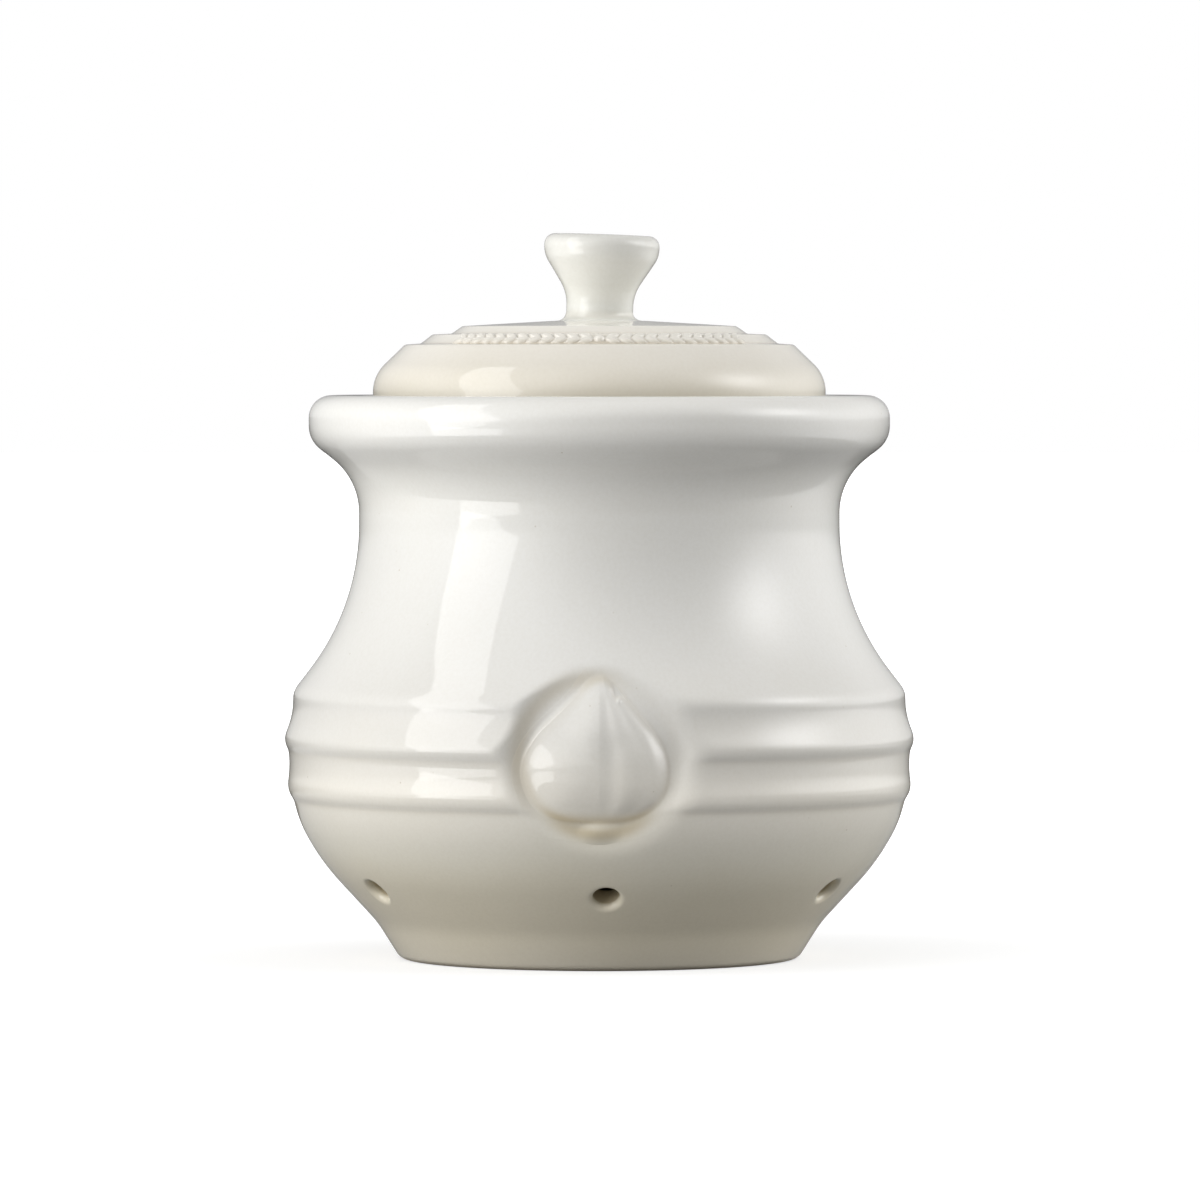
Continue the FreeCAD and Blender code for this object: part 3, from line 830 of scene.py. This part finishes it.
def make_lid(material):
    def spacing(angle):
        return float(0.33 + 1.7 * eased(off_centre(angle), GARLAND_SPAN + 3, GARLAND_SPAN + 12))

    angles = column_angles(spacing)
    columns = len(angles)
    profile = outline(LID_CORNERS, lid_step)[1:-1]
    riser = np.array(RISER)
    up_riser = riser[1] - riser[0]
    up_riser = up_riser / float(np.hypot(*up_riser))
    off_riser = np.array([up_riser[1], -up_riser[0]])
    middle = riser.mean(0)
    across = (profile - middle) @ up_riser
    # Only the riser and its edges are raised, not the same place in the lid's hollow
    near = (np.abs(across) < 2.6) & (profile[:, 0] > 32) & (profile[:, 1] > 125)
    height = garland_height(angles, across, float(middle[0])) * near[:, None]
    push = np.stack([off_riser[0] * np.cos(angles), off_riser[0] * np.sin(angles),
                     np.full(columns, off_riser[1])], -1)
    points = turned_grid(profile, angles) + push * height[..., None]
    pool_and_shade = np.repeat(hollowness(profile, 1.2)[:, None], columns, 1)
    # Glaze also pools on the riser between the leaves, and shade is painted there between the
    # raised leaves
    between = (near & (np.abs(across) < 1.7))[:, None] & (height < 0.05)
    between = between & (off_centre(np.degrees(angles)) < GARLAND_SPAN)[None, :]
    pool_and_shade = pool_and_shade + 0.25 * between
    ends = [(0, 0, LID_CORNERS[0][1]), (0, 0, CROWN)]
    return new_piece("lid_dome", *closed_grid(points, pool_and_shade, ends),
                     "lid", "lid", "lid_glaze", material)


def make_knob(material):
    angles = column_angles(lambda angle: 2.5)
    profile = outline(KNOB_CORNERS, lambda r, z: 0.35)[1:-1]
    points = turned_grid(profile, angles)
    # The knob leans to the right, but its foot stays flat on the lid
    z = points[..., 2]
    lean = KNOB_LEAN * eased(z, 0.0, 2.5)
    x = points[..., 0] * np.cos(lean) + z * np.sin(KNOB_LEAN)
    z = z * np.cos(lean) - points[..., 0] * np.sin(lean)
    points = np.stack([x, points[..., 1], z + CROWN], -1)
    pool_and_shade = np.repeat(hollowness(profile, 1.2)[:, None], len(angles), 1)
    top = KNOB_CORNERS[-1][1]
    ends = [(0, 0, CROWN + KNOB_CORNERS[0][1]), (top * math.sin(KNOB_LEAN), 0, CROWN + top)]
    return new_piece("knob_turned", *closed_grid(points, pool_and_shade, ends),
                     "knob", "lid", "knob_glaze", material)


# ---------------------------------------------------------------- materials


class Nodes:
    """An emptied node tree, with short ways to add the nodes that the looks here are made of."""

    def __init__(self, tree):
        self.tree = tree
        tree.nodes.clear()

    def join(self, value, socket):
        """Link another node's output to a socket, or set the socket to a plain value."""
        if isinstance(value, bpy.types.NodeSocket):
            self.tree.links.new(value, socket)
        else:
            socket.default_value = value

    def new(self, kind, inputs=None):
        node = self.tree.nodes.new("ShaderNode" + kind)
        for key, value in (inputs or {}).items():
            self.join(value, node.inputs[key])
        return node

    def maths(self, kind, one, two=0.0):
        node = self.new("Math", {0: one, 1: two})
        node.operation = kind
        return node.outputs[0]

    def vector(self, kind, inputs):
        node = self.new("VectorMath", inputs)
        node.operation = kind
        return node.outputs["Value"]

    def mapped(self, value, low, high, to_low=0, to_high=1, kind="LINEAR"):
        node = self.new("MapRange", {"Value": value, "From Min": low, "From Max": high,
                                     "To Min": to_low, "To Max": to_high})
        node.interpolation_type = kind
        return node.outputs["Result"]

    def mixed(self, kind, factor, one, two):
        """Colour one with colour two laid over it."""
        node = self.new("Mix")
        node.data_type = "RGBA"
        node.blend_type = kind
        for index, value in ((0, factor), (6, one), (7, two)):
            self.join(value, node.inputs[index])
        return node.outputs[2]


def new_material(name):
    made = bpy.data.materials.new(name)
    made.use_nodes = True
    return made, Nodes(made.node_tree)


def srgb(*colour):
    """Linear colour from an 8-bit screen colour."""
    return tuple(((c / 255 + 0.055) / 1.055) ** 2.4 if c > 10 else c / 255 / 12.92
                 for c in colour) + (1.0,)


GLAZE_IOR = 1.54
GLAZE_ROUGHNESS = 0.03
CLOUDS = srgb(249, 248, 245)
GRAIN = srgb(249, 248, 246)
IRON_SPECKS = srgb(176, 164, 140)
BARE_CLAY = srgb(214, 203, 184)


def glaze(name, stops, pool_and_shade_colour, bare_foot=False):
    """Glossy stoneware glaze: colour by height, darker where glaze pools and where shade is painted
    in creases, recesses and the dish, slightly uneven.
    """
    material, nodes = new_material(name)
    place = nodes.new("TexCoord").outputs["Object"]
    z = nodes.new("SeparateXYZ", {0: place}).outputs["Z"]

    def noise(scale, detail):
        made = nodes.new("TexNoise", {"Vector": place, "Scale": scale, "Detail": detail})
        return made.outputs["Fac"]

    def uneven(scale, detail, low, high, to_low, to_high):
        return nodes.mapped(noise(scale, detail), low, high, to_low, to_high)

    height = nodes.maths("ADD", z, uneven(26, 2, 0, 1, -0.004, 0.004))
    low, high = stops[0][0] * MM, stops[-1][0] * MM
    ramp = nodes.new("ValToRGB", {0: nodes.mapped(height, low, high)})
    ramp.color_ramp.interpolation = "B_SPLINE" if len(stops) > 3 else "LINEAR"
    while len(ramp.color_ramp.elements) < len(stops):
        ramp.color_ramp.elements.new(0.5)
    for element, (stop, colour) in zip(ramp.color_ramp.elements, stops):
        element.position = (stop * MM - low) / (high - low)
        element.color = srgb(*colour)

    # Darkening from the mesh values: glaze that pools in creases, and painted shade in creases,
    # recesses and the dish
    hollow = nodes.new("Attribute")
    hollow.attribute_name = "pool_and_shade"
    depth = nodes.mapped(hollow.outputs["Fac"], 0.02, 0.5, 0, 0.85)
    colour = nodes.mixed("MULTIPLY", depth, ramp.outputs[0], srgb(*pool_and_shade_colour))
    colour = nodes.mixed("MULTIPLY", uneven(38, 3, 0.3, 0.7, 0, 0.35), colour, CLOUDS)
    colour = nodes.mixed("MULTIPLY", uneven(1400, 2, 0.35, 0.75, 0, 0.5), colour, GRAIN)
    cells = nodes.new("TexVoronoi", {"Vector": place, "Scale": 260})
    dots = nodes.mapped(cells.outputs["Distance"], 0.03, 0.07, 0.5, 0)
    dots = nodes.maths("MULTIPLY", dots, uneven(150, 1, 0.6, 0.66, 0, 1))
    colour = nodes.mixed("MIX", dots, colour, IRON_SPECKS)
    rough = uneven(55, 3, 0.3, 0.7, GLAZE_ROUGHNESS * 0.75, GLAZE_ROUGHNESS * 1.35)
    if bare_foot:
        # The ring that the jar stands on is not glazed
        edge = nodes.maths("ADD", z, uneven(300, 2, 0, 1, -0.00015, 0.00015))
        ring = nodes.mapped(edge, 0.0004, 0.0008, 1, 0)
        colour = nodes.mixed("MIX", ring, colour, BARE_CLAY)
        rough = nodes.maths("ADD", rough, nodes.maths("MULTIPLY", ring, 0.6))
    ripple = nodes.maths("ADD", noise(70, 1), nodes.maths("MULTIPLY", noise(420, 2), 0.06))
    bump = nodes.new("Bump", {"Strength": 0.35, "Distance": 0.00016, "Height": ripple})
    shader = nodes.new("BsdfPrincipled", {"Base Color": colour, "Roughness": rough,
                                          "IOR": GLAZE_IOR, "Normal": bump.outputs[0]})
    nodes.new("OutputMaterial", {0: shader.outputs[0]})
    return material


# Colours of the glazes, by height in millimetres
JAR_STOPS = [
    (0, (235, 228, 211)),
    (6, (235, 227, 206)),
    (12, (237, 229, 208)),
    (18, (238, 231, 211)),
    (24, (241, 237, 223)),
    (30, (236, 232, 221)),
    (38, (237, 233, 224)),
    (46, (223, 221, 215)),
    (54, (224, 222, 217)),
    (64, (225, 224, 220)),
    (84, (220, 219, 215)),
    (96, (234, 233, 228)),
    (106, (224, 223, 219)),
    (116, (230, 229, 225)),
]
LID_STOPS = [
    (100, (212, 206, 191)),
    (117, (212, 206, 191)),
    (127, (228, 224, 216)),
    (132, (236, 233, 225)),
]
KNOB_STOPS = [
    (131, (224, 224, 219)),
    (138, (224, 224, 218)),
    (150, (217, 216, 211)),
]
make_jar(glaze("jar_glaze_white_to_greige", JAR_STOPS, (214, 205, 186), bare_foot=True))
make_sprig(glaze("sprig_glaze", JAR_STOPS, (220, 208, 182)))
make_lid(glaze("lid_glaze_cream", LID_STOPS, (216, 206, 186)))
make_knob(glaze("knob_glaze_white", KNOB_STOPS, (220, 212, 194)))

# ---------------------------------------------------------------- studio

# How pale the floor is to the eye, how much of the light it passes on, and its glow in the glaze
FLOOR_SEEN = 0.5
FLOOR_BOUNCE = 0.23
FLOOR_MIRRORED = 0.1
# The floor's glow to the eye: from one radius in metres to another it rises from low to full
GLOW_RISES = (0.05, 0.3, 0.6, 1.0)


def floor_material():
    """Pale floor: matte for lamps and shadow, with enough glow of its own to show white."""
    material, nodes = new_material("floor_pale")
    ray = nodes.new("LightPath").outputs
    seen = ray["Is Camera Ray"]
    mirrored = nodes.maths("MAXIMUM", ray["Is Glossy Ray"], ray["Is Transmission Ray"])
    away = nodes.vector("LENGTH", {0: nodes.new("TexCoord").outputs["Object"]})
    glow = nodes.maths("ADD",
                       nodes.maths("MULTIPLY", seen, nodes.mapped(away, *GLOW_RISES, "SMOOTHSTEP")),
                       nodes.maths("MULTIPLY", mirrored, FLOOR_MIRRORED))
    pale = nodes.maths("MULTIPLY", seen, FLOOR_SEEN - FLOOR_BOUNCE)
    pale = nodes.maths("ADD", pale, FLOOR_BOUNCE)
    both = nodes.new("AddShader", {
        0: nodes.new("BsdfDiffuse", {"Color": pale}).outputs[0],
        1: nodes.new("Emission", {"Strength": glow}).outputs[0],
    })
    nodes.new("OutputMaterial", {0: both.outputs[0]})
    return material


def flat_ring(name, inner, outer, material):
    """A level ring on the floor, or a round plate where inner is 0."""
    turns = np.linspace(0, 2 * math.pi, 96, endpoint=False)
    loops = [[(r * math.cos(a), r * math.sin(a), 0) for a in turns]
             for r in (outer, inner) if r > 0]
    count = len(turns)
    faces = [tuple(range(count))]
    if inner > 0:
        faces = [(i, (i + 1) % count, count + (i + 1) % count, count + i) for i in range(count)]
    mesh = bpy.data.meshes.new(name)
    mesh.from_pydata(sum(loops, []), [], faces)
    mesh.materials.append(material)
    made = bpy.data.objects.new(name, mesh)
    bpy.context.scene.collection.objects.link(made)
    return made


# The pot stands on a small round table. The floor beyond is there for the eye alone, so that
# the lamps, which reach lower than the table, show in the glaze as they do in a studio. The
# radii are in metres.
TABLE = 0.27
FLOOR_END = 9
floor_pale = floor_material()
flat_ring("table", 0, TABLE, floor_pale)
beyond = flat_ring("floor", TABLE, FLOOR_END, floor_pale)
beyond.visible_diffuse = False
beyond.visible_glossy = False
beyond.visible_transmission = False
beyond.visible_shadow = False

# Soft patches of light round the object: azimuth, elevation, tightness, strength
PATCHES = [
    (84, 25, 14.0, 2.3),
    (81, 26, 30.0, 2.3),
    (90, 35, 9.0, 0.36),
    (90, 5, 9.0, 0.6),
    (105, 3, 20.0, 0.6),
    (120, 5, 9.0, 1.3),
    (0, 80, 4.0, 0.4),
    (-30, 35, 9.0, 0.95),
    (-30, 5, 9.0, 0.5),
    (-40, 3, 20.0, 0.38),
    (-60, 5, 9.0, 1.2),
    (-60, 35, 9.0, 0.1),
    (-62, 3, 20.0, 0.8),
    (-90, 5, 9.0, 1.0),
    (-90, 35, 9.0, 0.2),
    (150, 20, 6.0, 0.5),
    (-150, 20, 6.0, 0.5),
]
# The same for the light that comes up past the edge of the table
LOW_PATCHES = [
    (90, -20, 9.0, 0.9),
    (120, -20, 9.0, 1.2),
    (-30, -20, 9.0, 0.3),
    (-60, -20, 9.0, 1.5),
    (-90, -20, 9.0, 1.2),
]
# Half the height of the band at the horizon in which the one gives way to the other
HORIZON = 0.03


def way_to(azimuth, elevation):
    """Direction seen from the object: azimuth 0 is the front, and positive is to the right."""
    a, e = math.radians(azimuth), math.radians(elevation)
    return (math.sin(a) * math.cos(e), -math.cos(a) * math.cos(e), math.sin(e))


def patch_light(nodes, place, patches):
    """Strength of the light from each direction, as the sum of its patches."""
    total = 0.0
    for azimuth, elevation, tightness, strength in patches:
        dot = nodes.vector("DOT_PRODUCT", {0: place, 1: way_to(azimuth, elevation)})
        fall = nodes.maths("MULTIPLY", nodes.maths("SUBTRACT", dot, 1.0), tightness)
        patch = nodes.maths("MULTIPLY", nodes.maths("EXPONENT", fall), strength)
        total = nodes.maths("ADD", patch, total)
    return total


def make_world():
    """Light from the patches, and plain white where the camera looks past the object."""
    world = bpy.data.worlds.new("studio")
    bpy.context.scene.world = world
    world.use_nodes = True
    nodes = Nodes(world.node_tree)
    place = nodes.new("TexCoord").outputs["Generated"]
    z = nodes.new("SeparateXYZ", {0: place}).outputs["Z"]
    light = nodes.new("Mix", {
        "Factor": nodes.mapped(z, -HORIZON, HORIZON, kind="SMOOTHSTEP"),
        "A": patch_light(nodes, place, LOW_PATCHES),
        "B": patch_light(nodes, place, PATCHES),
    })
    strength = nodes.new("Mix", {
        "Factor": nodes.new("LightPath").outputs["Is Camera Ray"],
        "A": light.outputs["Result"],
        "B": 1.0,
    })
    back = nodes.new("Background", {"Color": (1, 1, 1, 1), "Strength": strength.outputs["Result"]})
    nodes.new("OutputWorld", {0: back.outputs[0]})


make_world()

# The lamp is one tall soft box at the left, made of a part above the floor's level and one below
KEY_ACROSS = (-0.602, 0.799, 0)
KEY_WIDTH = 1.06
KEY_RADIANCE = 2.0


def soft_box(name, foot, up, length):
    """Rectangular lamp that stands on foot and rises along up."""
    up = np.array(up) / np.linalg.norm(up)
    across = np.array(KEY_ACROSS) - up * (up @ np.array(KEY_ACROSS))
    across /= np.linalg.norm(across)
    back = np.cross(across, up)
    middle = np.array(foot) + up * length / 2
    if back @ middle < 0:
        back, across = -back, -across
    data = bpy.data.lights.new(name, "AREA")
    data.shape = "RECTANGLE"
    data.size, data.size_y = KEY_WIDTH, length
    data.energy = KEY_RADIANCE * math.pi * KEY_WIDTH * length
    made = bpy.data.objects.new(name, data)
    bpy.context.scene.collection.objects.link(made)
    turned = np.stack([across, up, back], 1)
    made.matrix_world = Matrix([(*row, place) for row, place in zip(turned, middle)]
                               + [(0, 0, 0, 1)])
    made.visible_camera = False


soft_box("key_left", (-1.5137, -1.15, 0), (-0.172, 0.306, 0.936), 4.75)
soft_box("key_left_low", (-1.62, -1.05, -0.95), (0.1063, -0.1, 0.95), 0.961)

CAMERA_PLACE = (0.00014, -1.8, 0.125)
CAMERA_DOWN = 1.6275
camera_data = bpy.data.cameras.new("camera")
camera_data.lens = 261.9
camera_data.sensor_width = 36.0
camera_data.clip_start, camera_data.clip_end = 0.05, 60.0
camera = bpy.data.objects.new("camera", camera_data)
bpy.context.scene.collection.objects.link(camera)
camera.location = CAMERA_PLACE
camera.rotation_euler = (math.radians(90 - CAMERA_DOWN), 0, 0)
bpy.context.scene.camera = camera
bpy.context.scene.view_settings.view_transform = "Standard"
